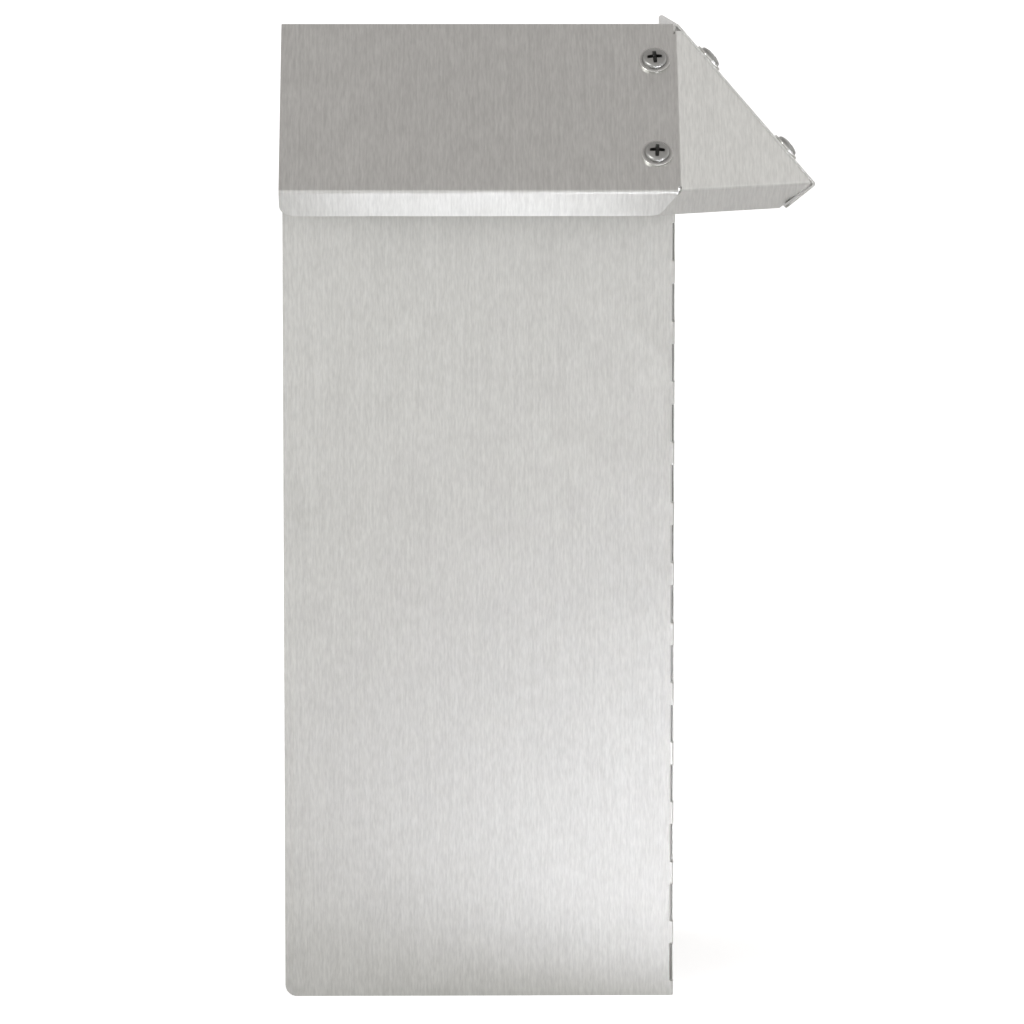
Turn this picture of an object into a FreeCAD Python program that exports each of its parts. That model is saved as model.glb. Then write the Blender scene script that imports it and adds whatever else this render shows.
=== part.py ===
import FreeCAD, Part
import math
import os
from FreeCAD import Vector

# Corner element of a slug fence, in folded stainless sheet.
#
# One sheet is folded along a slotted vertical line into two legs. Each leg turns outward
# at the top into a sloping hood, and each hood turns back under into a lip. A triangular cap
# closes the corner between the two hoods. Its flanges lie under the hoods, and four screws
# with nuts hold them.
#
# Working frame: the legs' outer faces meet on the Z axis. The front leg lies along -X and
# faces -Y, and the side leg lies along +Y and faces +X. The side half is the front half
# mirrored in the plane x = -y. The finished nodes are moved so that the origin is at the
# bottom centre of the bounding box.

# ---- Driving dimensions (mm, degrees) ----

LEG_WIDTH = 100.0            # outer corner to each free upright edge
HEIGHT = 250.0               # bottom edge to the top of the ridge fold
SHEET = 0.6                  # thickness of the corner sheet
CAP_SHEET = 0.6              # thickness of the cap
FREE_CORNER_RADIUS = 3.0     # bottom corner at each leg's free edge

HOOD_REACH = 36.0            # leg's outer face to the eave
HOOD_ANGLE = 41.0            # hood's slope away from the vertical
HOOD_END_CLEARANCE = 0.1     # between the two hoods' ends at the ridge, each way
LIP_DEPTH = 9.8              # eave to the lip's free edge
LIP_CORNER_RADIUS = 4.0
LIP_END_LEAN = 27.0          # how far the lip's inner end leans back from square

CORNER_FOLD_RADIUS = 0.8     # outer radii of the folds
RIDGE_FOLD_RADIUS = 0.8
EAVE_FOLD_RADIUS = 0.8
CAP_FOLD_RADIUS = 0.8

SLOT_LENGTH = 10.0           # slots that weaken the vertical fold
SLOT_PITCH = 15.5
SLOT_REACH = 1.0             # outer corner to the slot's edge, on each leg
SLOT_END_RADIUS = 0.5
SLOT_MARGIN = 3.5            # least length of fold left whole at the top and bottom
RELIEF_RADIUS = 0.5          # hole where the vertical fold meets the ridge

CAP_TIP_CUT = 1.8            # cap's pointed tip cut off, measured down the cap
CAP_TUCK_CLEARANCE = 0.15    # between the hoods' lips and the cap's lip
CAP_LIP_DEPTH = 12.6
CAP_FLANGE_WIDTH = 12.0      # cap's fold to the flange's free edge
CAP_FLANGE_TOP = 3.0         # cap's tip to the flange's upper end
CAP_FLANGE_RADIUS = 2.0
CAP_NOTCH = 0.4              # gap between the flange's lower end and the cap's own lip

SCREW_FROM_CORNER = 5.7      # cap's fold to the screws' axes
SCREW_FROM_RIDGE = 13.8      # ridge's sharp line to the upper screw
SCREW_FROM_EAVE = 12.0       # lower screw to the eave
THREAD_DIAMETER = 4.0
THREAD_STANDOUT = 1.2        # screw end beyond the nut
SCREW_HOLE_CLEARANCE = 0.2   # radial, between thread and sheet
NUT_CLEARANCE = 0.02         # radial, between thread and nut
COLLAR_DIAMETER = 8.0
COLLAR_THICKNESS = 0.6
DOME_DIAMETER = 6.2
DOME_SHOULDER_RADIUS = 0.9
HEAD_HEIGHT = 1.9
RECESS_SPAN = 4.4            # cross recess, tip to tip
RECESS_ARM = 0.9
RECESS_DEPTH = 1.2
RECESS_TAPER = 0.45          # length of the recess at its bottom, as a share of its span
NUT_FLATS = 7.0
NUT_THICKNESS = 3.2
CHAMFER = 0.4                # on the nut's corners and the screw's end

OVERSHOOT = 1.0              # how far a cutter runs past the sheet that it cuts

# ---- Derived directions and lengths ----

LEAN = math.radians(HOOD_ANGLE)
UP = Vector(0, 0, 1)
INSIDE = Vector(0, 1, 0)
ALONG = Vector(1, 0, 0)
HOOD_NORMAL = Vector(0, -math.cos(LEAN), math.sin(LEAN))
HOOD_DOWN = Vector(0, -math.sin(LEAN), -math.cos(LEAN))
SIDE_DOWN = Vector(math.sin(LEAN), 0, -math.cos(LEAN))
CAP_ACROSS = Vector(1, 1, 0).normalize()
CAP_DOWN = (HOOD_DOWN + SIDE_DOWN).normalize()
CAP_NORMAL = Vector(math.cos(LEAN), -math.cos(LEAN), math.sin(LEAN)).normalize()


def setback(normal_a, normal_b, radius):
    """Distance from a fold's sharp line to where its flat sheets begin."""
    return radius * math.tan(normal_a.getAngle(normal_b) / 2)


RIDGE_SETBACK = setback(INSIDE, HOOD_NORMAL, RIDGE_FOLD_RADIUS)
EAVE_SETBACK = setback(HOOD_NORMAL, HOOD_DOWN, EAVE_FOLD_RADIUS)
CAP_SIDE_SETBACK = setback(HOOD_NORMAL, CAP_NORMAL, CAP_FOLD_RADIUS)
CAP_EAVE_SETBACK = setback(CAP_NORMAL, CAP_DOWN, CAP_FOLD_RADIUS)

LEG_TOP = HEIGHT - RIDGE_FOLD_RADIUS
RIDGE = Vector(0, SHEET, LEG_TOP + RIDGE_SETBACK)
HOOD_LENGTH = (HOOD_REACH + SHEET) / math.sin(LEAN)
EAVE = RIDGE + HOOD_DOWN * HOOD_LENGTH
HOOD_END = -(SHEET + HOOD_END_CLEARANCE)
HOOD_EXTENT = HOOD_REACH - EAVE_FOLD_RADIUS * (math.cos(LEAN) + math.sin(LEAN) - 1)
TO_ORIGIN = Vector((LEG_WIDTH - HOOD_EXTENT) / 2, (HOOD_EXTENT - LEG_WIDTH) / 2, 0)

SCREW_SLOPES = {"upper": SCREW_FROM_RIDGE, "lower": HOOD_LENGTH - SCREW_FROM_EAVE}
SCREW_LENGTH = SHEET + CAP_SHEET + NUT_THICKNESS + THREAD_STANDOUT


# ---- Sheet-metal helpers ----

def outline(origin, across, along, corners):
    """Closed wire through the corners (a, b, radius), each with a tangent arc if radius > 0."""
    spots = [origin + across * a + along * b for a, b, radius in corners]
    edges = []
    last = None
    first = None
    for i, (a, b, radius) in enumerate(corners):
        here = spots[i]
        back = (spots[i - 1] - here).normalize()
        ahead = (spots[(i + 1) % len(spots)] - here).normalize()
        half = back.getAngle(ahead) / 2
        enter = here + back * (radius / math.tan(half))
        leave = here + ahead * (radius / math.tan(half))
        if last is not None:
            edges.append(Part.makeLine(last, enter))
        if radius > 0:
            centre = here + (back + ahead).normalize() * (radius / math.sin(half))
            middle = centre + (here - centre).normalize() * radius
            edges.append(Part.Arc(enter, middle, leave).toShape())
        if first is None:
            first = enter
        last = leave
    edges.append(Part.makeLine(last, first))
    return Part.Wire(edges)


def plate(wire, normal, sheet):
    """Flat sheet whose outer face is the wire and whose thickness goes away from normal."""
    return Part.Face(wire).extrude(normal * -sheet)


def fold(start, end, normal_a, normal_b, radius, sheet):
    """Round fold between two plates whose outer faces would meet on the line start-end."""
    middle = (normal_a + normal_b).normalize()
    half = normal_a.getAngle(normal_b) / 2
    centre = start - middle * (radius / math.cos(half))
    inner = radius - sheet
    outer_arc = Part.Arc(centre + normal_a * radius, centre + middle * radius, centre + normal_b * radius)
    inner_arc = Part.Arc(centre + normal_b * inner, centre + middle * inner, centre + normal_a * inner)
    wire = Part.Wire([
        outer_arc.toShape(),
        Part.makeLine(centre + normal_b * radius, centre + normal_b * inner),
        inner_arc.toShape(),
        Part.makeLine(centre + normal_a * inner, centre + normal_a * radius),
    ])
    return Part.Face(wire).extrude(end - start)


def to_side(shape):
    """The same piece on the side half: mirrored in the plane x = -y."""
    return shape.mirror(Vector(0, 0, 0), Vector(1, 1, 0))


def hood_point(from_corner, slope):
    """Point on the front hood's outer face, or on its plane beyond the sheet."""
    return RIDGE + HOOD_DOWN * slope - ALONG * from_corner


def joined(shapes):
    """One solid from touching shapes, without the seams between them."""
    return shapes[0].multiFuse(shapes[1:]).removeSplitter()


def screw_holes(depth):
    """Two cylinders through the front hood and the flange under it."""
    radius = THREAD_DIAMETER / 2 + SCREW_HOLE_CLEARANCE
    length = depth + 2 * OVERSHOOT
    holes = []
    for slope in SCREW_SLOPES.values():
        top = hood_point(SCREW_FROM_CORNER, slope) + HOOD_NORMAL * OVERSHOOT
        holes.append(Part.makeCylinder(radius, length, top, -HOOD_NORMAL))
    return Part.makeCompound(holes)


# ---- Corner sheet ----

def front_leg():
    corners = [
        (-LEG_WIDTH, 0, FREE_CORNER_RADIUS),
        (-CORNER_FOLD_RADIUS, 0, 0),
        (-CORNER_FOLD_RADIUS, LEG_TOP, 0),
        (-LEG_WIDTH, LEG_TOP, 0),
    ]
    return plate(outline(Vector(0, 0, 0), ALONG, UP, corners), -INSIDE, SHEET)


def front_hood():
    corners = [
        (-LEG_WIDTH, RIDGE_SETBACK, 0),
        (HOOD_END, RIDGE_SETBACK, 0),
        (HOOD_END, HOOD_LENGTH - EAVE_SETBACK, 0),
        (-LEG_WIDTH, HOOD_LENGTH - EAVE_SETBACK, 0),
    ]
    sheet = plate(outline(RIDGE, ALONG, HOOD_DOWN, corners), HOOD_NORMAL, SHEET)
    return sheet.cut(screw_holes(SHEET))


def front_lip():
    lean = math.tan(math.radians(LIP_END_LEAN))
    corners = [
        (-LEG_WIDTH, EAVE_SETBACK, 0),
        (HOOD_END, EAVE_SETBACK, 0),
        (HOOD_END - lean * (LIP_DEPTH - EAVE_SETBACK), LIP_DEPTH, LIP_CORNER_RADIUS),
        (-LEG_WIDTH, LIP_DEPTH, LIP_CORNER_RADIUS),
    ]
    return plate(outline(EAVE, ALONG, -HOOD_NORMAL, corners), HOOD_DOWN, SHEET)


def front_half():
    far = ALONG * -LEG_WIDTH
    near = ALONG * HOOD_END
    ridge = fold(RIDGE + far, RIDGE + near, INSIDE, HOOD_NORMAL, RIDGE_FOLD_RADIUS, SHEET)
    eave = fold(EAVE + far, EAVE + near, HOOD_NORMAL, HOOD_DOWN, EAVE_FOLD_RADIUS, SHEET)
    return joined([front_leg(), ridge, front_hood(), eave, front_lip()])


def fold_slots():
    """Cutters for the row of slots, spaced evenly and centred on the height."""
    count = 1 + int((HEIGHT - 2 * SLOT_MARGIN - SLOT_LENGTH) // SLOT_PITCH)
    first = (HEIGHT - SLOT_LENGTH - SLOT_PITCH * (count - 1)) / 2
    cutters = []
    for i in range(count):
        low = first + SLOT_PITCH * i
        high = low + SLOT_LENGTH
        corners = [
            (-SLOT_REACH, low, SLOT_END_RADIUS),
            (SLOT_REACH, low, 0),
            (SLOT_REACH, high, 0),
            (-SLOT_REACH, high, SLOT_END_RADIUS),
        ]
        wire = outline(Vector(0, -SLOT_REACH, 0), ALONG, UP, corners)
        through_front = Part.Face(wire).extrude(INSIDE * (2 * SLOT_REACH))
        cutters.append(through_front.common(to_side(through_front)))
    return Part.makeCompound(cutters)


def corner_sheet():
    half = front_half()
    fold_top = UP * (LEG_TOP - RELIEF_RADIUS)
    upright = fold(Vector(0, 0, 0), fold_top, -INSIDE, ALONG, CORNER_FOLD_RADIUS, SHEET)
    drill = Vector(-1, 1, 0).normalize()
    reach = CORNER_FOLD_RADIUS + OVERSHOOT
    relief = Part.makeCylinder(RELIEF_RADIUS, 2 * reach, UP * LEG_TOP - drill * reach, drill)
    whole = joined([half, upright, to_side(half)])
    return whole.cut([relief, fold_slots()])


# ---- Corner cap ----

# The flanges' outer faces lie on the hoods' inner faces. The two side folds meet at the tip.
TIP_SLOPE = SHEET * (1 + math.cos(LEAN)) / math.sin(LEAN)
TIP = RIDGE - HOOD_NORMAL * SHEET + HOOD_DOWN * TIP_SLOPE
CAP_EDGE = HOOD_LENGTH - TIP_SLOPE - SHEET - CAP_TUCK_CLEARANCE
HALF_APEX = HOOD_DOWN.getAngle(CAP_DOWN)
CAP_LENGTH = CAP_EDGE * math.cos(HALF_APEX)


def face_half_width(down):
    """Half width of the cap's flat face at a distance down from its tip."""
    return down * math.tan(HALF_APEX) - CAP_SIDE_SETBACK / math.cos(HALF_APEX)


def along_side_fold(down):
    """Where the face's edge at that distance falls along the side fold, from the tip."""
    return down * math.cos(HALF_APEX) + face_half_width(down) * math.sin(HALF_APEX)


FACE_BOTTOM = CAP_LENGTH - CAP_EAVE_SETBACK
FLANGE_BOTTOM = along_side_fold(FACE_BOTTOM) - CAP_NOTCH


def cap_face():
    top = face_half_width(CAP_TIP_CUT)
    bottom = face_half_width(FACE_BOTTOM)
    corners = [
        (-top, CAP_TIP_CUT, 0),
        (top, CAP_TIP_CUT, 0),
        (bottom, FACE_BOTTOM, 0),
        (-bottom, FACE_BOTTOM, 0),
    ]
    return plate(outline(TIP, CAP_ACROSS, CAP_DOWN, corners), CAP_NORMAL, CAP_SHEET)


def cap_lip():
    """The face's lower edge turned inward: a round fold and a flat strip."""
    half = face_half_width(FACE_BOTTOM)
    edge = TIP + CAP_DOWN * CAP_LENGTH
    turned = fold(edge - CAP_ACROSS * half, edge + CAP_ACROSS * half,
                  CAP_NORMAL, CAP_DOWN, CAP_FOLD_RADIUS, CAP_SHEET)
    corners = [
        (-half, CAP_EAVE_SETBACK, 0),
        (half, CAP_EAVE_SETBACK, 0),
        (half, CAP_LIP_DEPTH, 0),
        (-half, CAP_LIP_DEPTH, 0),
    ]
    strip = plate(outline(edge, CAP_ACROSS, -CAP_NORMAL, corners), CAP_DOWN, CAP_SHEET)
    return [turned, strip]


def front_flange():
    """The tab under the front hood, with the fold that joins it to the cap's face."""
    top = TIP + HOOD_DOWN * along_side_fold(CAP_TIP_CUT)
    bottom = TIP + HOOD_DOWN * FLANGE_BOTTOM
    turned = fold(top, bottom, HOOD_NORMAL, CAP_NORMAL, CAP_FOLD_RADIUS, CAP_SHEET)
    corners = [
        (-CAP_FLANGE_WIDTH, CAP_FLANGE_TOP, CAP_FLANGE_RADIUS),
        (-CAP_SIDE_SETBACK, CAP_FLANGE_TOP, 0),
        (-CAP_SIDE_SETBACK, FLANGE_BOTTOM, 0),
        (-CAP_FLANGE_WIDTH, FLANGE_BOTTOM, CAP_FLANGE_RADIUS),
    ]
    tab = plate(outline(TIP, ALONG, HOOD_DOWN, corners), HOOD_NORMAL, CAP_SHEET)
    return turned, tab.cut(screw_holes(SHEET + CAP_SHEET))


def corner_cap():
    turned, tab = front_flange()
    return joined([cap_face(), turned, to_side(turned), tab, to_side(tab)] + cap_lip())


# ---- Screws and nuts, made upright with the hood's outer face at z = 0 ----

def screw():
    """Domed head on a flat collar, with a cross recess and a plain shank for the thread."""
    thread = THREAD_DIAMETER / 2
    collar = COLLAR_DIAMETER / 2
    shoulder_out = DOME_DIAMETER / 2 - DOME_SHOULDER_RADIUS
    rise = HEAD_HEIGHT - COLLAR_THICKNESS
    crown_radius = ((shoulder_out ** 2 + rise ** 2 - DOME_SHOULDER_RADIUS ** 2)
                    / (2 * (rise - DOME_SHOULDER_RADIUS)))
    shoulder_centre = Vector(shoulder_out, 0, COLLAR_THICKNESS)
    crown_centre = Vector(0, 0, HEAD_HEIGHT - crown_radius)
    meeting = (shoulder_centre - crown_centre).normalize()
    shoulder_middle = (meeting + ALONG).normalize()
    crown_middle = (meeting + UP).normalize()
    dome_edge = shoulder_centre + ALONG * DOME_SHOULDER_RADIUS
    tangent = crown_centre + meeting * crown_radius
    crown = Vector(0, 0, HEAD_HEIGHT)
    points = [
        crown,
        Vector(0, 0, -SCREW_LENGTH),
        Vector(thread - CHAMFER, 0, -SCREW_LENGTH),
        Vector(thread, 0, -SCREW_LENGTH + CHAMFER),
        Vector(thread, 0, 0),
        Vector(collar, 0, 0),
        Vector(collar, 0, COLLAR_THICKNESS),
        dome_edge,
    ]
    edges = [Part.makeLine(a, b) for a, b in zip(points, points[1:])]
    on_shoulder = shoulder_centre + shoulder_middle * DOME_SHOULDER_RADIUS
    on_crown = crown_centre + crown_middle * crown_radius
    edges.append(Part.Arc(dome_edge, on_shoulder, tangent).toShape())
    edges.append(Part.Arc(tangent, on_crown, crown).toShape())
    body = Part.Face(Part.Wire(edges)).revolve(Vector(0, 0, 0), UP, 360)
    return body.cut(cross_recess())


def cross_recess():
    """Two crossed blades that narrow towards the bottom of the recess."""
    half = RECESS_SPAN / 2
    arm = RECESS_ARM / 2
    floor = HEAD_HEIGHT - RECESS_DEPTH
    spots = [
        Vector(-half * RECESS_TAPER, -arm, floor),
        Vector(half * RECESS_TAPER, -arm, floor),
        Vector(half, -arm, HEAD_HEIGHT),
        Vector(-half, -arm, HEAD_HEIGHT),
    ]
    blade = Part.Face(Part.makePolygon(spots + spots[:1])).extrude(INSIDE * RECESS_ARM)
    crossed = blade.copy()
    crossed.rotate(Vector(0, 0, 0), UP, 90)
    return blade.fuse(crossed)


def nut():
    """Hexagon nut with chamfered corners, its seat against the flange's inner face."""
    seat = -(SHEET + CAP_SHEET)
    corner = NUT_FLATS / math.sqrt(3)
    low = seat - NUT_THICKNESS
    sixth = math.pi / 3
    spots = []
    for i in range(6):
        turn = sixth * (i + 0.5)
        spots.append(Vector(corner * math.cos(turn), corner * math.sin(turn), low))
    hexagon = Part.Face(Part.makePolygon(spots + spots[:1])).extrude(UP * NUT_THICKNESS)
    profile = [
        Vector(0, 0, low),
        Vector(corner - CHAMFER, 0, low),
        Vector(corner, 0, low + CHAMFER / 2),
        Vector(corner, 0, seat - CHAMFER / 2),
        Vector(corner - CHAMFER, 0, seat),
        Vector(0, 0, seat),
        Vector(0, 0, low),
    ]
    turned = Part.Face(Part.makePolygon(profile)).revolve(Vector(0, 0, 0), UP, 360)
    bore = Part.makeCylinder(THREAD_DIAMETER / 2 + NUT_CLEARANCE, NUT_THICKNESS, Vector(0, 0, low))
    return hexagon.common(turned).cut(bore)


def seated(shape, slope):
    """An upright fastener moved to its place on the front hood."""
    placed = shape.copy()
    seat = hood_point(SCREW_FROM_CORNER, slope)
    placed.Placement = FreeCAD.Placement(seat, FreeCAD.Rotation(UP, HOOD_NORMAL))
    return placed


# ---- Export ----

def build():
    nodes = {"corner_sheet": corner_sheet(), "corner_cap": corner_cap()}
    for name, shape in (("screw", screw()), ("nut", nut())):
        for level, slope in SCREW_SLOPES.items():
            placed = seated(shape, slope)
            nodes[f"front_{level}_{name}"] = placed
            nodes[f"side_{level}_{name}"] = to_side(placed)
    return nodes


os.makedirs("parts", exist_ok=True)
for node, solid in build().items():
    moved = solid.copy()
    moved.translate(TO_ORIGIN)
    moved.exportStep(f"parts/{node}.step")
    box = moved.BoundBox
    print(f"{node}: {moved.ShapeType}, {len(moved.Solids)} solid, valid {moved.isValid()}, "
          f"{moved.Volume:.1f} mm3, z {box.ZMin:.2f} to {box.ZMax:.2f}")
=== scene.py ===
# %% [markdown]
# # Corner element of a slug fence, in brushed stainless steel
#
# A slug fence is a low wall of sheet metal that stands in the soil around a bed. This is the
# piece for its corner: one sheet folded into two legs at a right angle, with a sloping hood
# along the top of each leg that slugs can't climb round. A small triangular cap closes the gap
# between the two hoods, and four screws with nuts hold it.
#
# The folded sheet and the cap come from the CAD model and keep its exact shape. What Blender
# adds is the finish of the metal, and finely made screws and nuts. The first step is to load
# the CAD model, which every later step is placed around.

# %% Load the CAD model
import math

import bmesh
import bpy
import numpy as np
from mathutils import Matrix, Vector


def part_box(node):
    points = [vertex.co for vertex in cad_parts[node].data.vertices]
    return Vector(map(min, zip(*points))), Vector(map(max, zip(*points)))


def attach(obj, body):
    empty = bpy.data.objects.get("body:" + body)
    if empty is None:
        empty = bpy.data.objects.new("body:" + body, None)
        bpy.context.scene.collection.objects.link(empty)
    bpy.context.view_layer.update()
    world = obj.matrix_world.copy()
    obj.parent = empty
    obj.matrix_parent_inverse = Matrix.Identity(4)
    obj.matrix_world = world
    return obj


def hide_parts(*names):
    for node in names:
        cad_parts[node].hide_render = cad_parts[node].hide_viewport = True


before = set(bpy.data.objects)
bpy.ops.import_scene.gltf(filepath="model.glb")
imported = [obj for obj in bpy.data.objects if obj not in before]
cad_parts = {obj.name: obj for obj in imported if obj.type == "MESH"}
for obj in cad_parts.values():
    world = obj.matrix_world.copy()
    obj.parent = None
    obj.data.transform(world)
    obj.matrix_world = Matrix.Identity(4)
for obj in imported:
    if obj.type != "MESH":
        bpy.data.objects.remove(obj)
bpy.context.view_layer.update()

MM = 0.001

# %% [markdown]
# ## Camera
#
# The object is looked at from a little above its top and from about a metre and a half away. A
# short lens would make the hood loom over the leg. A long lens keeps the upright edges almost
# parallel. The camera could be turned with three angles, but a quaternion is simpler to get
# right: it turns the camera's -Z axis along the line of sight and keeps +Y upwards.

# %% Camera
LENS = 207.3                     # mm, on a sensor 36 mm wide
SENSOR = 36.0
NEAREST, FARTHEST = 0.05, 50.0
CAMERA_PLACE = Vector((-0.0286, -1.532, 0.2853))
CAMERA_AIM = Vector((-0.0094, -0.0322, 0.1255))

camera_data = bpy.data.cameras.new("camera")
camera_data.lens = LENS
camera_data.sensor_width = SENSOR
camera_data.clip_start = NEAREST
camera_data.clip_end = FARTHEST
camera = bpy.data.objects.new("camera", camera_data)
camera.location = CAMERA_PLACE
camera.rotation_mode = "QUATERNION"
camera.rotation_quaternion = (CAMERA_AIM - CAMERA_PLACE).to_track_quat("-Z", "Y")
bpy.context.scene.collection.objects.link(camera)
bpy.context.scene.camera = camera
print("camera to the front leg:", round((CAMERA_AIM - CAMERA_PLACE).length, 3), "m")

# %% [markdown]
# ## Stage
#
# Steel shows what stands around it, so the stage is part of the finish. A floor with a wall
# behind it would draw a dark line where they meet, and the sheet would mirror that line. A
# studio uses one sheet of card that curves up instead. Here it is a profile of points (flat, a
# quarter circle, upright) carried along X.

# %% Floor that curves up into a backdrop
STAGE_HALF_WIDTH = 6.0
STAGE_FRONT = -5.0
STAGE_BACK = 2.0
STAGE_BEND = 1.5                 # radius of the curve between floor and wall
STAGE_HEIGHT = 6.0
BEND_POINTS = 24


def stage_mesh():
    """Profile carried along X: flat, then y = back + r sin t, z = r (1 - cos t), then up."""
    t = np.linspace(0, math.pi / 2, BEND_POINTS)
    wall = STAGE_BACK + STAGE_BEND
    y = np.concatenate([[STAGE_FRONT], STAGE_BACK + STAGE_BEND * np.sin(t), [wall]])
    z = np.concatenate([[0.0], STAGE_BEND * (1 - np.cos(t)), [STAGE_HEIGHT]])
    x = np.array([-STAGE_HALF_WIDTH, STAGE_HALF_WIDTH])
    verts = np.stack(np.broadcast_arrays(x[None, :], y[:, None], z[:, None]), -1).reshape(-1, 3)
    row = np.arange(len(y) - 1)
    faces = np.stack([2 * row, 2 * row + 1, 2 * row + 3, 2 * row + 2], -1)
    mesh = bpy.data.meshes.new("floor")
    mesh.from_pydata(verts.tolist(), [], faces.tolist())
    mesh.shade_smooth()
    return mesh


floor = bpy.data.objects.new("floor", stage_mesh())
bpy.context.scene.collection.objects.link(floor)
print("stage:", len(floor.data.polygons), "faces")

# %% [markdown]
# The card is matt and almost white. In a studio its far part is lit until it is pure white to
# the eye, while the light that it throws back on the object stays soft. A Light Path node does
# the same: the card gives off a little extra light, but only towards the camera.

# %% Pale finish of the stage
WHITE = (1, 1, 1, 1)
FLOOR_COLOUR = 0.9
FLOOR_ROUGHNESS = 0.9
FLOOR_LIFT = 0.46                # extra light towards the camera

floor_finish = bpy.data.materials.new("pale_floor")
floor_finish.use_nodes = True
floor_tree = floor_finish.node_tree
floor_shader = floor_tree.nodes["Principled BSDF"]
floor_shader.inputs["Base Color"].default_value = (FLOOR_COLOUR, FLOOR_COLOUR, FLOOR_COLOUR, 1)
floor_shader.inputs["Roughness"].default_value = FLOOR_ROUGHNESS
floor_shader.inputs["Specular IOR Level"].default_value = 0.0
floor_shader.inputs["Emission Color"].default_value = WHITE
ray = floor_tree.nodes.new("ShaderNodeLightPath")
lift = floor_tree.nodes.new("ShaderNodeMath")
lift.operation = "MULTIPLY"
lift.inputs[1].default_value = FLOOR_LIFT
floor_tree.links.new(ray.outputs["Is Camera Ray"], lift.inputs[0])
floor_tree.links.new(lift.outputs[0], floor_shader.inputs["Emission Strength"])
floor.data.materials.append(floor_finish)
print("stage finish:", floor_finish.name)

# %% [markdown]
# ## Light
#
# The room is a soft white dome that is brighter at the horizon than overhead, and a little
# warmer overhead. That is why the upright leg looks light and cool, and the hood, which mirrors
# the upper part of the room, looks darker and browner. A Map Range node for the strength and a
# Mix node for the colour, both on the direction's height, do it with no picture of a room.

# %% Soft white room
AT_HORIZON = 1.07
OVERHEAD = 0.56
WARM = (1.025, 0.987, 0.981, 1)

room = bpy.data.worlds.new("studio")
bpy.context.scene.world = room
room.use_nodes = True
room_tree = room.node_tree
direction = room_tree.nodes.new("ShaderNodeTexCoord")
above = room_tree.nodes.new("ShaderNodeSeparateXYZ")
fade = room_tree.nodes.new("ShaderNodeMapRange")
fade.inputs["To Min"].default_value = AT_HORIZON
fade.inputs["To Max"].default_value = OVERHEAD
room_tree.links.new(direction.outputs["Generated"], above.inputs[0])
room_tree.links.new(above.outputs["Z"], fade.inputs["Value"])
room_tree.links.new(fade.outputs["Result"], room_tree.nodes["Background"].inputs["Strength"])
tint = room_tree.nodes.new("ShaderNodeMix")
tint.data_type = "RGBA"
tint.inputs[6].default_value = WHITE
tint.inputs[7].default_value = WARM
room_tree.links.new(above.outputs["Z"], tint.inputs["Factor"])
room_tree.links.new(tint.outputs[2], room_tree.nodes["Background"].inputs["Color"])
bpy.context.scene.view_settings.view_transform = "Standard"
print("room:", AT_HORIZON, "at the horizon,", OVERHEAD, "overhead")

# %% [markdown]
# Lamps add what the even room can't. Two large soft boxes model the form. The glow low on the
# right of the leg is the mirror image of a bright patch of floor, so three narrow lamps light
# the floor there rather than the leg. A lamp on the leg itself would only make a hard spot. A
# small strip on the ground under the hood brightens the lip, which faces down.

# %% Lamps
def softbox(name, place, aim, size, watts, spread=180.0, colour=(1, 1, 1)):
    """Rectangular lamp at a place, facing a point. A grid narrows its beam to spread degrees."""
    data = bpy.data.lights.new(name, "AREA")
    data.shape = "RECTANGLE"
    data.size, data.size_y = size
    data.spread = math.radians(spread)
    data.energy = watts
    data.color = colour
    lamp = bpy.data.objects.new(name, data)
    lamp.location = place
    lamp.rotation_mode = "QUATERNION"
    lamp.rotation_quaternion = (Vector(aim) - Vector(place)).to_track_quat("-Z", "Y")
    lamp.visible_camera = False
    bpy.context.scene.collection.objects.link(lamp)


MIDDLE = (0, 0, 0.12)            # close to the middle of the object
POOL_BEAM = 22.0
POOL_LAMP = (0.15, 0.15)
COOL = (0.97, 0.98, 1.06)
STRIP_X = -0.021
STRIP_Y = -0.05
STRIP_Z = 0.001
STRIP = (0.085, 0.03)
STRIP_BEAM = 50.0

softbox("front_left_light", (-1.5, -1.8, 1.2), MIDDLE, (1.0, 1.0), 16.0)
softbox("right_light", (2.0, 0.3, 1.4), MIDDLE, (1.2, 1.2), 1.0)
softbox("floor_pool_near", (0.85, -0.7, 0.6), (0.32, -0.33, 0), POOL_LAMP, 8.5, POOL_BEAM, COOL)
softbox("floor_pool_middle", (0.75, -0.75, 0.7), (0.24, -0.41, 0), POOL_LAMP, 4.1, POOL_BEAM, COOL)
softbox("floor_pool_far", (0.85, -0.7, 0.6), (0.36, -0.44, 0), POOL_LAMP, 19.0, POOL_BEAM, COOL)
strip_place = (STRIP_X, STRIP_Y, STRIP_Z)
straight_up = (STRIP_X, STRIP_Y, 1)
softbox("under_hood_strip", strip_place, straight_up, STRIP, 0.0018, STRIP_BEAM, COOL)
print("lamps:", len(bpy.data.lights))

# %% [markdown]
# ## Brushed steel
#
# The sheet was ground with a belt that ran up and down, which leaves fine upright scratches. A
# picture of scratches would repeat and blur. A noise texture that is squeezed across the sheet
# and stretched along it gives scratches of any length at any size. The grain is used on the
# sheet and on the cap, so it is one node group with named inputs, and each material sets its own.
#
# First come a few small helpers, because a long row of nodes is easier to read as arithmetic.

# %% Helpers for building nodes
def calculator(tree):
    """Returns a function that adds a Math node, sets the numbers and links the outputs."""
    def add(operation, *values):
        node = tree.nodes.new("ShaderNodeMath")
        node.operation = operation
        for socket, value in zip(node.inputs, values):
            if isinstance(value, (int, float)):
                socket.default_value = value
            else:
                tree.links.new(value, socket)
        return node.outputs[0]
    return add


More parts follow.
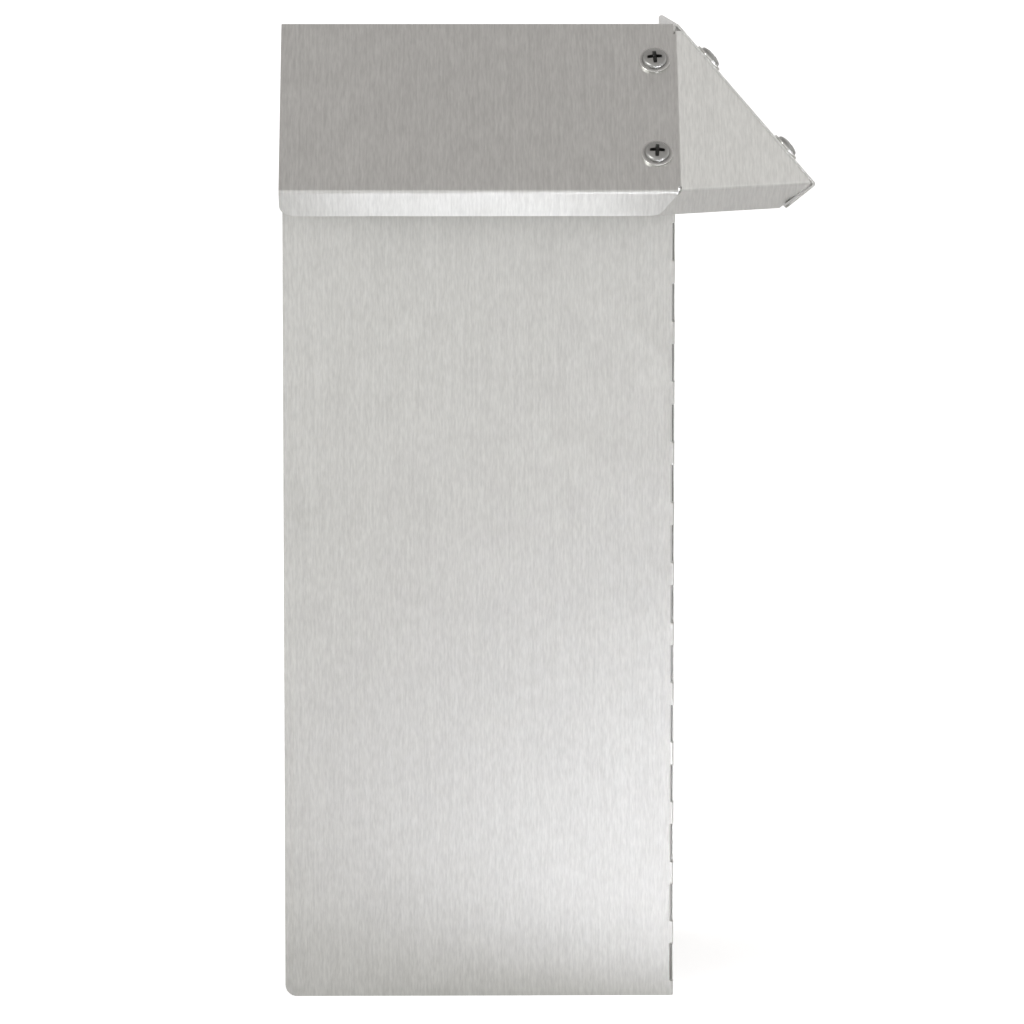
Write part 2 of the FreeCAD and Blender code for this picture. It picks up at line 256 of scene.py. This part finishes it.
def noise(tree, vector, scale, detail, roughness):
    """Noise texture's value at a vector."""
    node = tree.nodes.new("ShaderNodeTexNoise")
    node.inputs["Scale"].default_value = scale
    node.inputs["Detail"].default_value = detail
    node.inputs["Roughness"].default_value = roughness
    tree.links.new(vector, node.inputs["Vector"])
    return node.outputs["Fac"]


def remap(tree, value, from_range, to_range):
    """Map Range node: the value's place in one range, carried to another."""
    node = tree.nodes.new("ShaderNodeMapRange")
    node.inputs["From Min"].default_value, node.inputs["From Max"].default_value = from_range
    node.inputs["To Min"].default_value, node.inputs["To Max"].default_value = to_range
    tree.links.new(value, node.inputs["Value"])
    return node.outputs["Result"]


def blend_colours(tree, share, first, second):
    """Mix node from the first colour to the second. A colour is a tuple or an output."""
    node = tree.nodes.new("ShaderNodeMix")
    node.data_type = "RGBA"
    tree.links.new(share, node.inputs["Factor"])
    for socket, colour in ((node.inputs[6], first), (node.inputs[7], second)):
        if isinstance(colour, tuple):
            socket.default_value = colour
        else:
            tree.links.new(colour, socket)
    return node.outputs[2]


def steel(value):
    """Colour of stainless steel: grey with a slightly warm cast."""
    return (value, value, value * 0.96, 1)


# %% [markdown]
# The grain has to know which way is across. On the front half of the object that is X, and on
# the side half it is Y. The face's normal tells the two apart. The cap stands between them, so
# its material sets Side Share to 0 and takes X all over.

# %% Grain group
STREAK_WIDTH = 0.45 * MM
STREAK_LENGTH = 2.6 * MM
WIDER = 1.3                      # the long streaks, as multiples of the fine ones
LONGER = 14.0
FINE_PART, LONG_PART, CLOUD_PART = 0.6, 0.28, 0.12
LONG_HEIGHT = 0.7                # long streaks' share in the height
FINE_LAYER, LONG_LAYER = 1.7, 8.1        # places in the noise that have nothing in common
STREAK_DETAIL = 2.0
FINE_ROUGHNESS, LONG_ROUGHNESS = 0.6, 0.5
CLOUD_SCALE = 170.0
CLOUD_DETAIL = 3.0
CLOUD_ROUGHNESS = 0.6
FRONT_BIAS = 0.02                # a face that leans both ways equally counts as front
SIDE_OFFSET = 0.37               # keeps the two halves' grain from being the same


def object_parts(tree):
    """Object position and true normal, each split into X, Y and Z."""
    coordinates = tree.nodes.new("ShaderNodeTexCoord")
    geometry = tree.nodes.new("ShaderNodeNewGeometry")
    position = tree.nodes.new("ShaderNodeSeparateXYZ")
    normal = tree.nodes.new("ShaderNodeSeparateXYZ")
    tree.links.new(coordinates.outputs["Object"], position.inputs[0])
    tree.links.new(geometry.outputs["True Normal"], normal.inputs[0])
    return coordinates.outputs["Object"], position.outputs, normal.outputs


def streaks(tree, across, up, width, length, roughness, layer):
    """Noise at (across / width, up / length, layer)."""
    calculate = calculator(tree)
    stretched = tree.nodes.new("ShaderNodeCombineXYZ")
    tree.links.new(calculate("DIVIDE", across, width), stretched.inputs[0])
    tree.links.new(calculate("DIVIDE", up, length), stretched.inputs[1])
    stretched.inputs[2].default_value = layer
    return noise(tree, stretched.outputs[0], 1.0, STREAK_DETAIL, roughness)


def grain_group():
    """Shade = fine, long and cloud parts added up. Height = fine + a share of long."""
    tree = bpy.data.node_groups.new("brushed_grain", "ShaderNodeTree")
    starts = {"Streak Width": STREAK_WIDTH, "Streak Length": STREAK_LENGTH, "Side Share": 1.0}
    for label, value in starts.items():
        socket = tree.interface.new_socket(label, in_out="INPUT", socket_type="NodeSocketFloat")
        socket.default_value = value
    for label in ("Shade", "Height", "Cloud"):
        tree.interface.new_socket(label, in_out="OUTPUT", socket_type="NodeSocketFloat")
    given = tree.nodes.new("NodeGroupInput")
    result = tree.nodes.new("NodeGroupOutput")
    calculate = calculator(tree)
    place, position, normal = object_parts(tree)
    facing_x = calculate("ABSOLUTE", normal["X"])
    facing_y = calculate("ADD", calculate("ABSOLUTE", normal["Y"]), FRONT_BIAS)
    faces_side = calculate("GREATER_THAN", facing_x, facing_y)
    side = calculate("MULTIPLY", faces_side, given.outputs["Side Share"])
    across = tree.nodes.new("ShaderNodeMix")
    tree.links.new(side, across.inputs[0])
    tree.links.new(position["X"], across.inputs[2])
    tree.links.new(calculate("ADD", position["Y"], SIDE_OFFSET), across.inputs[3])
    width, length = given.outputs["Streak Width"], given.outputs["Streak Length"]
    line, up = across.outputs[0], position["Z"]
    fine = streaks(tree, line, up, width, length, FINE_ROUGHNESS, FINE_LAYER)
    wide = calculate("MULTIPLY", width, WIDER)
    far = calculate("MULTIPLY", length, LONGER)
    long = streaks(tree, line, up, wide, far, LONG_ROUGHNESS, LONG_LAYER)
    cloud = noise(tree, place, CLOUD_SCALE, CLOUD_DETAIL, CLOUD_ROUGHNESS)
    fine_shade = calculate("MULTIPLY", fine, FINE_PART)
    scratches = calculate("ADD", fine_shade, calculate("MULTIPLY", long, LONG_PART))
    shade = calculate("ADD", scratches, calculate("MULTIPLY", cloud, CLOUD_PART))
    tree.links.new(shade, result.inputs["Shade"])
    height = calculate("ADD", fine, calculate("MULTIPLY", long, LONG_HEIGHT))
    tree.links.new(height, result.inputs["Height"])
    tree.links.new(cloud, result.inputs["Cloud"])
    return tree


grain = grain_group()
print("grain group:", len(grain.nodes), "nodes")

# %% [markdown]
# Along the upright fold runs a row of slots that were cut before the sheet was folded. Inside a
# slot the gap between the two legs lies in shade, so its walls get painted shade that deepens
# towards the inside, and this thin dark line is what makes the row of slots readable from the
# front. The walls could be picked by hand, but the CAD mesh isn't to be touched, so a second
# group finds them: a wall lies one millimetre from the outer corner and faces the fold. How far a
# point is under the sheet's outer face sets how dark the painted shade is.

# %% Painted shade group for the slots' gap
LEG_WIDTH = 100 * MM
CORNER_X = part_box("corner_sheet")[0].x + LEG_WIDTH
CORNER_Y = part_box("corner_sheet")[1].y - LEG_WIDTH
SLOT_REACH = 1.0 * MM            # outer corner to a slot's wall
WALL_BAND = 0.15 * MM
FACING = 0.9
# Depths under the outer face where the painted shade in the gap begins and where it is darkest
SHADE_START_DEPTH = 0.2 * MM          # under the outer face, where the wall begins to darken
SHADE_FULL_DEPTH = 0.4 * MM            # and where it is darkest


def slot_gap_shade_group():
    """Painted shade mask = within the band of a wall, times facing the fold, times the depth from 0
    to 1.
    """
    tree = bpy.data.node_groups.new("slot_gap_shade", "ShaderNodeTree")
    tree.interface.new_socket("Mask", in_out="OUTPUT", socket_type="NodeSocketFloat")
    result = tree.nodes.new("NodeGroupOutput")
    calculate = calculator(tree)
    position, normal = object_parts(tree)[1:]
    at_front = calculate("COMPARE", position["X"], CORNER_X - SLOT_REACH, WALL_BAND)
    at_side = calculate("COMPARE", position["Y"], CORNER_Y + SLOT_REACH, WALL_BAND)
    front = calculate("MULTIPLY", at_front, calculate("GREATER_THAN", normal["X"], FACING))
    side = calculate("MULTIPLY", at_side, calculate("LESS_THAN", normal["Y"], -FACING))
    behind_front = (CORNER_Y + SHADE_START_DEPTH, CORNER_Y + SHADE_FULL_DEPTH)
    behind_side = (CORNER_X - SHADE_START_DEPTH, CORNER_X - SHADE_FULL_DEPTH)
    front_depth = remap(tree, position["Y"], behind_front, (0.0, 1.0))
    side_depth = remap(tree, position["X"], behind_side, (0.0, 1.0))
    front = calculate("MULTIPLY", front, front_depth)
    side = calculate("MULTIPLY", side, side_depth)
    tree.links.new(calculate("MAXIMUM", front, side), result.inputs["Mask"])
    return tree


slot_gap_shade = slot_gap_shade_group()
print("outer corner at", round(CORNER_X / MM, 2), round(CORNER_Y / MM, 2), "mm")

# %% [markdown]
# The material mixes a darker and a lighter steel by the grain's shade, and lets the soft clouds
# change the roughness a little, as handling does. The bump is under a thousandth of a
# millimetre: the scratches are seen as changes in brightness, not as grooves.

# %% Brushed steel material
# Near-black steel: the painted shade in the slots' gap
PAINTED_GAP_SHADE = 0.10
BUMP_HEIGHT = 0.0009 * MM
SHADE_RANGE = (0.36, 0.64)       # where the grain's values mostly lie
CLOUD_RANGE = (0.3, 0.7)
GLOSS_SWING = 0.04


def brushed_steel(name, dark, light, roughness, side_share):
    """Principled metal. Colour, roughness and normal come from the grain; slot walls get painted
    shade.
    """
    material = bpy.data.materials.new(name)
    material.use_nodes = True
    tree = material.node_tree
    shader = tree.nodes["Principled BSDF"]
    shader.inputs["Metallic"].default_value = 1.0
    pattern = tree.nodes.new("ShaderNodeGroup")
    pattern.node_tree = grain
    pattern.inputs["Side Share"].default_value = side_share
    gap_shade = tree.nodes.new("ShaderNodeGroup")
    gap_shade.node_tree = slot_gap_shade
    share = remap(tree, pattern.outputs["Shade"], SHADE_RANGE, (0.0, 1.0))
    ground = blend_colours(tree, share, steel(dark), steel(light))
    # Painted shade on the slots' walls, mixed in by the gap mask
    colour = blend_colours(tree, gap_shade.outputs["Mask"], ground, steel(PAINTED_GAP_SHADE))
    tree.links.new(colour, shader.inputs["Base Color"])
    swing = (roughness - GLOSS_SWING, roughness + GLOSS_SWING)
    gloss = remap(tree, pattern.outputs["Cloud"], CLOUD_RANGE, swing)
    tree.links.new(gloss, shader.inputs["Roughness"])
    bump = tree.nodes.new("ShaderNodeBump")
    bump.inputs["Distance"].default_value = BUMP_HEIGHT
    tree.links.new(pattern.outputs["Height"], bump.inputs["Height"])
    tree.links.new(bump.outputs["Normal"], shader.inputs["Normal"])
    return material


# %% Finish the sheet and the cap
SHEET_SHADES = (0.545, 0.66)     # dark and light of the grain
CAP_SHADES = (0.555, 0.67)
SATIN = 0.32                     # roughness


def put(node, material):
    """Gives a CAD node its material. Its mesh stays as it is."""
    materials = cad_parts[node].data.materials
    materials.clear()
    materials.append(material)
    print(node, "->", material.name)


put("corner_sheet", brushed_steel("sheet_steel", *SHEET_SHADES, SATIN, 1.0))
put("corner_cap", brushed_steel("cap_steel", *CAP_SHADES, SATIN, 0.0))

# %% [markdown]
# ## Screws and nuts
#
# Each screw has a low dome on a flat collar, with a cross pressed into it, and a thread that
# ends in a nut under the hood. Cut from solids, the head would have hard, flat-looking edges. It
# is made here as surfaces instead, from the screw's own sizes, upright with the hood's face at
# z = 0. Its place is read from the box of the CAD screw that it stands for.

# %% Sizes of the screw and nut
HOOD_LEAN = math.radians(41)     # hood's slope away from the vertical
HEAD_HEIGHT = 1.9 * MM
COLLAR_RADIUS = 4.0 * MM
COLLAR_THICKNESS = 0.6 * MM
COLLAR_EDGE = 0.12 * MM          # rounding of the collar's rim
DOME_RADIUS = 3.1 * MM
SHOULDER_RADIUS = 0.9 * MM       # rounding between the crown and the dome's side
RECESS_HALF = 2.2 * MM           # middle of the cross to the tip of an arm
RECESS_ARM = 0.45 * MM           # half the width of an arm
RECESS_DEPTH = 1.2 * MM
THREAD_RADIUS = 2.0 * MM
THREAD_PITCH = 0.7 * MM
THREAD_DEPTH = 0.36 * MM
SCREW_LENGTH = 5.6 * MM          # under the collar
SCREW_CHAMFER = 0.4 * MM
GROOVE_STEEPNESS = 1.35          # over 1, the thread's crests and roots get flats
CREST_FLAT = 0.15
NUT_SEAT = -1.2 * MM
NUT_THICKNESS = 3.2 * MM
NUT_APOTHEM = 3.5 * MM           # axis to a flat
NUT_CLEARANCE = 0.03 * MM

crown_out = DOME_RADIUS - SHOULDER_RADIUS
crown_rise = HEAD_HEIGHT - COLLAR_THICKNESS
CROWN_RADIUS = ((crown_out ** 2 + crown_rise ** 2 - SHOULDER_RADIUS ** 2)
                / (2 * (crown_rise - SHOULDER_RADIUS)))
CROWN_TILT = math.atan2(crown_out, COLLAR_THICKNESS - HEAD_HEIGHT + CROWN_RADIUS)
CROWN_RIM = CROWN_RADIUS * math.sin(CROWN_TILT)
print("crown radius", round(CROWN_RADIUS / MM, 2), "mm, rim", round(CROWN_RIM / MM, 2), "mm")

# %% [markdown]
# ### Grids
#
# A disc made of rings has a pole in the middle, where the faces shrink to slivers, and the cross
# would be cut into them. A square grid that is bent into a circle has no pole, and its lines run
# along the arms of the cross. Its rim points, taken once round, are where the turned part begins.

# %% Grid helpers
CELLS = 48                       # along one side of the square


def square_to_disc():
    """Unit disc from a square: x = a sqrt(1 - b b / 2), y = b sqrt(1 - a a / 2)."""
    lines = np.linspace(-1, 1, CELLS + 1)
    a, b = np.meshgrid(lines, lines, indexing="ij")
    return a * np.sqrt(1 - b * b / 2), b * np.sqrt(1 - a * a / 2)


def rim_angles():
    """Angle of each rim point of that disc, once round, in order."""
    x, y = square_to_disc()
    xs = np.concatenate([x[:-1, 0], x[-1, :-1], x[:0:-1, -1], x[0, :0:-1]])
    ys = np.concatenate([y[:-1, 0], y[-1, :-1], y[:0:-1, -1], y[0, :0:-1]])
    return np.arctan2(ys, xs)


def grid_faces(rows, columns, wrap=False):
    """Four-sided faces of a grid of points. With wrap, the last column joins the first."""
    last = columns if wrap else columns - 1
    i, j = np.meshgrid(np.arange(rows - 1), np.arange(last), indexing="ij")
    k = (j + 1) % columns
    corners = [i * columns + j, (i + 1) * columns + j, (i + 1) * columns + k, i * columns + k]
    return np.stack(corners, -1).reshape(-1, 4)


def turned(angle, radius, level):
    """Rings as points: x = r cos(angle), y = r sin(angle), z = level. One row per ring."""
    r, z = np.broadcast_arrays(radius, level)
    return np.stack([r * np.cos(angle), r * np.sin(angle), z], -1)


def joined(parts):
    """Several (points, faces, dullness and painted shade) as one, each part's face numbers shifted
    past the last.
    """
    starts = np.cumsum([0] + [len(part[0]) for part in parts[:-1]])
    points = np.concatenate([part[0] for part in parts])
    faces = np.concatenate([part[1] + start for part, start in zip(parts, starts)])
    return points, faces, np.concatenate([part[2] for part in parts])


# %% [markdown]
# ### Head
#
# The crown is part of a sphere. The cross is pressed into it by taking, at each point, the lower
# of the sphere and the floor of the recess. Each arm's floor is level in the middle and climbs to
# the tip, with steep walls, as the punch leaves it. A value for dullness and painted shade goes
# with each point: 0 on the polished collar, about half on the dome and the crease at its foot, 1 in
# the recess. The material reads it later, for roughness and for painted shade.

# %% Head
# Dullness and painted shade: half on the dome and the crease at its foot, full in the recess from
# an eighth of its depth
DOME_DULL_AND_SHADE = 0.5
DULL_AND_SHADE_GAIN = 4                    # the recess is fully dull at an eighth of its depth
TIP_START = 0.45                 # share of an arm that is level, from the middle
WALL_START, WALL_WIDTH = 0.9, 0.25
SHOULDER_POINTS = 9
EDGE_POINTS = 5
DOME_GAP = 0.08 * MM             # ring on the collar, just outside the dome
# Those rings get the dome's painted shade as well as its dullness
DOME_REACH = 0.1 * MM            # rings within this of the dome are as dull as it is


def arm_floor(along, across):
    """Height of one arm's floor: depth times (climb to the tip + steep climb at the walls)."""
    tip = np.clip((np.abs(along) / RECESS_HALF - TIP_START) / (1 - TIP_START), 0, 1)
    wall = np.clip((np.abs(across) / RECESS_ARM - WALL_START) / WALL_WIDTH, 0, None)
    return HEAD_HEIGHT - RECESS_DEPTH + RECESS_DEPTH * (tip + wall)


def crown():
    """z = the lower of the sphere and the two arms' floors, over the bent square grid."""
    x, y = square_to_disc()
    x, y = CROWN_RIM * x, CROWN_RIM * y
    sphere = HEAD_HEIGHT - CROWN_RADIUS + np.sqrt(CROWN_RADIUS ** 2 - x * x - y * y)
    z = np.minimum(sphere, np.minimum(arm_floor(x, y), arm_floor(y, x)))
    # Painted shade and dullness: half on the dome, rising to full in the recess
    dull_and_shade = np.clip(DOME_DULL_AND_SHADE + DULL_AND_SHADE_GAIN * (sphere - z) / RECESS_DEPTH, 0, 1)
    points = np.stack([x, y, z], -1).reshape(-1, 3)
    return points, grid_faces(CELLS + 1, CELLS + 1), dull_and_shade.reshape(-1)


def head_profile():
    """Radius, height, and dullness with painted shade, of the head's rings: crown rim, shoulder,
    collar's round edge.
    """
    shoulder = np.linspace(CROWN_TILT, math.pi / 2, SHOULDER_POINTS)
    edge = np.linspace(0, math.pi / 2, EDGE_POINTS)
    rim = COLLAR_RADIUS - COLLAR_EDGE
    radius = np.concatenate([
        crown_out + SHOULDER_RADIUS * np.sin(shoulder), [DOME_RADIUS + DOME_GAP],
        rim + COLLAR_EDGE * np.sin(edge), rim + COLLAR_EDGE * np.cos(edge), [THREAD_RADIUS],
    ])
    level = np.concatenate([
        COLLAR_THICKNESS + SHOULDER_RADIUS * np.cos(shoulder), [COLLAR_THICKNESS],
        COLLAR_THICKNESS - COLLAR_EDGE + COLLAR_EDGE * np.cos(edge),
        COLLAR_EDGE - COLLAR_EDGE * np.sin(edge), [0.0],
    ])
    # The dome and the crease ring at its foot get the dome's dullness and painted shade; the collar
    # gets none
    on_dome = radius < DOME_RADIUS + DOME_REACH
    return radius, level, np.where(on_dome & (level >= COLLAR_THICKNESS), DOME_DULL_AND_SHADE, 0.0)


# %% [markdown]
# ### Thread
#
# A thread could be a profile carried along a helix, but then its ends have to be closed by hand.
# Here the shank is a plain grid of rings whose radius depends on the height and the angle: the
# wave that makes the thread moves down one pitch in each turn. It runs out by itself where the
# chamfer cuts it off.

# %% Thread and screw
SHANK_ROWS = 80
ROOT_DULL_AND_SHADE = 0.6


def thread_radius(angle, level):
    """Right-handed thread: a flat-topped wave along z that shifts by one pitch a turn."""
    phase = np.mod(level / THREAD_PITCH - angle / (2 * math.pi), 1.0)
    groove = np.clip(GROOVE_STEEPNESS * np.abs(2 * phase - 1) - CREST_FLAT, 0, 1)
    return THREAD_RADIUS - THREAD_DEPTH * groove


def foot(angle, radius):
    """Flat end of the screw: the bent square grid, scaled to the last ring's radius all round."""
    around = np.mod(angle, 2 * math.pi)
    order = np.argsort(around)
    x, y = square_to_disc()
    at = np.mod(np.arctan2(y, x), 2 * math.pi)
    reach = np.interp(at, around[order], radius[order], period=2 * math.pi)
    points = np.stack([x * reach, y * reach, np.full_like(x, -SCREW_LENGTH)], -1).reshape(-1, 3)
    return points, grid_faces(CELLS + 1, CELLS + 1)[:, ::-1], np.zeros(x.size)


def screw_surface():
    """Crown, then the head's rings and the threaded shank's rings in one grid, then the foot."""
    angle = rim_angles()
    head_radius, head_level, head_dull_and_shade = head_profile()
    level = np.linspace(0, -SCREW_LENGTH, SHANK_ROWS + 1)[1:]
    blank = THREAD_RADIUS - SCREW_CHAMFER + level + SCREW_LENGTH
    thread = np.minimum(thread_radius(angle, level[:, None]), blank[:, None])
    head_rings = head_radius[:, None] + np.zeros_like(angle)
    radius = np.concatenate([head_rings, thread])
    rings = turned(angle, radius, np.concatenate([head_level, level])[:, None])
    dull_and_shade = np.zeros(radius.shape)
    dull_and_shade[:len(head_dull_and_shade)] = head_dull_and_shade[:, None]
    # Painted shade and dullness in the thread's grooves, deepest at the root
    dull_and_shade[len(head_dull_and_shade):] = ROOT_DULL_AND_SHADE * (THREAD_RADIUS - thread) / THREAD_DEPTH
    dull_and_shade = np.clip(dull_and_shade, 0, 1).reshape(-1)
    body = rings.reshape(-1, 3), grid_faces(*radius.shape, wrap=True), dull_and_shade
    return joined([crown(), body, foot(angle, radius[-1])])


# %% [markdown]
# ### Nut
#
# The nut is one profile carried round: up the threaded bore, out over the seat, down the outside
# and back. Its six flats come from the radius, which is the apothem divided by the cosine of the
# angle from the nearest flat's middle. A shallow cone trims the six corners, top and bottom, and
# leaves the curved lines that a real nut has.

# %% Nut
NUT_COLUMNS = 144
BORE_ROWS = 41
BORE_DULL_AND_SHADE = 0.5
CONE_SLOPE = math.tan(math.radians(30))
CONE_START = 0.96                # where the cone begins, as a share of the apothem
INLET = 0.2 * MM                 # the bore widens by this at its two mouths
INLET_DEPTH = 0.25 * MM
FLAT_ROWS = (0.0, 0.03, 0.25, 0.5, 0.75, 0.97, 1.0)


def nut_surface():
    """Flat: r = apothem / cos(angle from the flat's middle). Cone: z drops by slope (r - start)."""
    angle = np.linspace(0, 2 * math.pi, NUT_COLUMNS, endpoint=False)
    from_middle = np.mod(angle + math.pi / 6, math.pi / 3) - math.pi / 6
    flat = NUT_APOTHEM / np.cos(from_middle)
    top, low = NUT_SEAT, NUT_SEAT - NUT_THICKNESS
    cone = CONE_START * NUT_APOTHEM
    drop = (flat - cone) * CONE_SLOPE
    inlet = THREAD_RADIUS + INLET
    level = np.linspace(low + INLET_DEPTH, top - INLET_DEPTH, BORE_ROWS)[:, None]
    bore = thread_radius(angle, level) + NUT_CLEARANCE
    down = np.array(FLAT_ROWS)[:, None]
    round_angle = np.zeros_like(angle)
    radius = np.vstack([inlet + round_angle, bore, inlet + round_angle, cone + round_angle,
                        (cone + flat) / 2, flat + 0 * down, (cone + flat) / 2, cone + round_angle,
                        inlet + round_angle])
    height = np.vstack([low + round_angle, level + round_angle, top + round_angle,
                        top + round_angle,
                        top - drop / 2, top - drop - (NUT_THICKNESS - 2 * drop) * down,
                        low + drop / 2, low + round_angle, low + round_angle])
    dull_and_shade = np.zeros(radius.shape)
    # The bore gets painted shade as well as dullness
    dull_and_shade[1:BORE_ROWS + 1] = BORE_DULL_AND_SHADE
    points = turned(angle, radius, height).reshape(-1, 3)
    return points, grid_faces(*radius.shape, wrap=True), dull_and_shade.reshape(-1)


# %% [markdown]
# ### Seats
#
# A screw's place could be worked out again from the hood's slope, but then two files would have
# to agree. The CAD screw's box already holds it: the collar's rim is what reaches furthest out
# and up, so taking off the collar's own reach gives the point where its axis meets the hood. The
# three directions of the screw's frame follow from the hood's lean.

# %% Place a fastener
SIN, COS = math.sin(HOOD_LEAN), math.cos(HOOD_LEAN)
MERGE = 0.002 * MM               # points closer than this are one point
SHARP = math.radians(35)


def seat(screw, on_side):
    """Point on the hood under the screw's head, and the screw's X, Y and Z directions."""
    low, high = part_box(screw)
    out = COLLAR_THICKNESS * COS + COLLAR_RADIUS * SIN
    up = COLLAR_THICKNESS * SIN + COLLAR_RADIUS * COS
    middle = (low + high) / 2
    if on_side:
        place = (high.x - out, middle.y, high.z - up)
        return np.array(place), np.array([(0, 1, 0), (-SIN, 0, COS), (COS, 0, SIN)])
    place = (middle.x, low.y + out, high.z - up)
    return np.array(place), np.array([(1, 0, 0), (0, SIN, COS), (0, -COS, SIN)])


def closed_mesh(name, points, faces, dull_and_shade):
    """Mesh with seams merged, faces outwards, dullness and painted shade as an attribute, and sharp
    edges kept.
    """
    mesh = bpy.data.meshes.new(name)
    mesh.from_pydata(points.tolist(), [], faces.tolist())
    mesh.attributes.new("dull_and_shade", "FLOAT", "POINT").data.foreach_set("value", dull_and_shade.astype(np.float32))
    edit = bmesh.new()
    edit.from_mesh(mesh)
    bmesh.ops.remove_doubles(edit, verts=edit.verts, dist=MERGE)
    bmesh.ops.recalc_face_normals(edit, faces=edit.faces)
    open_edges = sum(len(edge.link_faces) != 2 for edge in edit.edges)
    edit.to_mesh(mesh)
    edit.free()
    mesh.shade_smooth()
    mesh.set_sharp_from_angle(angle=SHARP)
    print(name, len(mesh.polygons), "faces,", open_edges, "open edges")
    return mesh


def fastener(name, surface, screw, on_side, twist, node):
    """The surface twisted about its axis, seated on a hood, and standing for its CAD node."""
    points, faces, dull_and_shade = surface
    place, directions = seat(screw, on_side)
    c, s = math.cos(twist), math.sin(twist)
    spun = points @ np.array([[c, s, 0], [-s, c, 0], [0, 0, 1]])
    piece = bpy.data.objects.new(name, closed_mesh(name, spun @ directions + place, faces, dull_and_shade))
    bpy.context.scene.collection.objects.link(piece)
    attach(piece, "root")
    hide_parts(node)
    return piece


# %% [markdown]
# ### Polished steel
#
# The screws are polished, so they mirror the room more sharply than the sheet. Polishing doesn't
# reach into the recess or the thread, so the dull value makes those parts rough. The same value
# paints shade on them: it darkens the dome, the crease at its foot, the recess, the thread's
# grooves and the nut's bore. A fine noise keeps the open faces from being one flat colour.

# %% Polished steel material
FLECK_SCALE = 1400.0
FLECK_DETAIL = 3.0
FLECK_ROUGHNESS = 0.5
POLISHED_SHADES = (0.56, 0.70)
# Near-black steel that the dull value mixes in as painted shade
PAINTED_SHADE_TONE = 0.05
POLISHED_GLOSS, DULL_GLOSS = 0.14, 0.45


def polished_steel(name):
    """Principled metal: flecked bright steel where polished; rough, and darkened with painted
    shade, where dull.
    """
    material = bpy.data.materials.new(name)
    material.use_nodes = True
    tree = material.node_tree
    shader = tree.nodes["Principled BSDF"]
    shader.inputs["Metallic"].default_value = 1.0
    dull_and_shade = tree.nodes.new("ShaderNodeAttribute")
    dull_and_shade.attribute_name = "dull_and_shade"
    coordinates = tree.nodes.new("ShaderNodeTexCoord")
    place = coordinates.outputs["Object"]
    fleck = noise(tree, place, FLECK_SCALE, FLECK_DETAIL, FLECK_ROUGHNESS)
    low, high = POLISHED_SHADES
    bright = blend_colours(tree, fleck, steel(low), steel(high))
    # Painted shade: the dull value mixes in the near-black steel
    colour = blend_colours(tree, dull_and_shade.outputs["Fac"], bright, steel(PAINTED_SHADE_TONE))
    tree.links.new(colour, shader.inputs["Base Color"])
    gloss = remap(tree, dull_and_shade.outputs["Fac"], (0.0, 1.0), (POLISHED_GLOSS, DULL_GLOSS))
    tree.links.new(gloss, shader.inputs["Roughness"])
    return material


# %% Make the screws and nuts
# How far each screw happened to be turned when it came tight, in degrees
TWISTS = {"front_upper": 4, "front_lower": -3, "side_upper": 38, "side_lower": 17}

fastener_steel = polished_steel("fastener_steel")
for spot, twist in TWISTS.items():
    on_side = spot.startswith("side")
    screw_node, nut_node = f"{spot}_screw", f"{spot}_nut"
    turn = math.radians(twist)
    screw = fastener(f"{screw_node}_fine", screw_surface(), screw_node, on_side, turn, screw_node)
    nut = fastener(f"{nut_node}_fine", nut_surface(), screw_node, on_side, turn, nut_node)
    screw.data.materials.append(fastener_steel)
    nut.data.materials.append(fastener_steel)
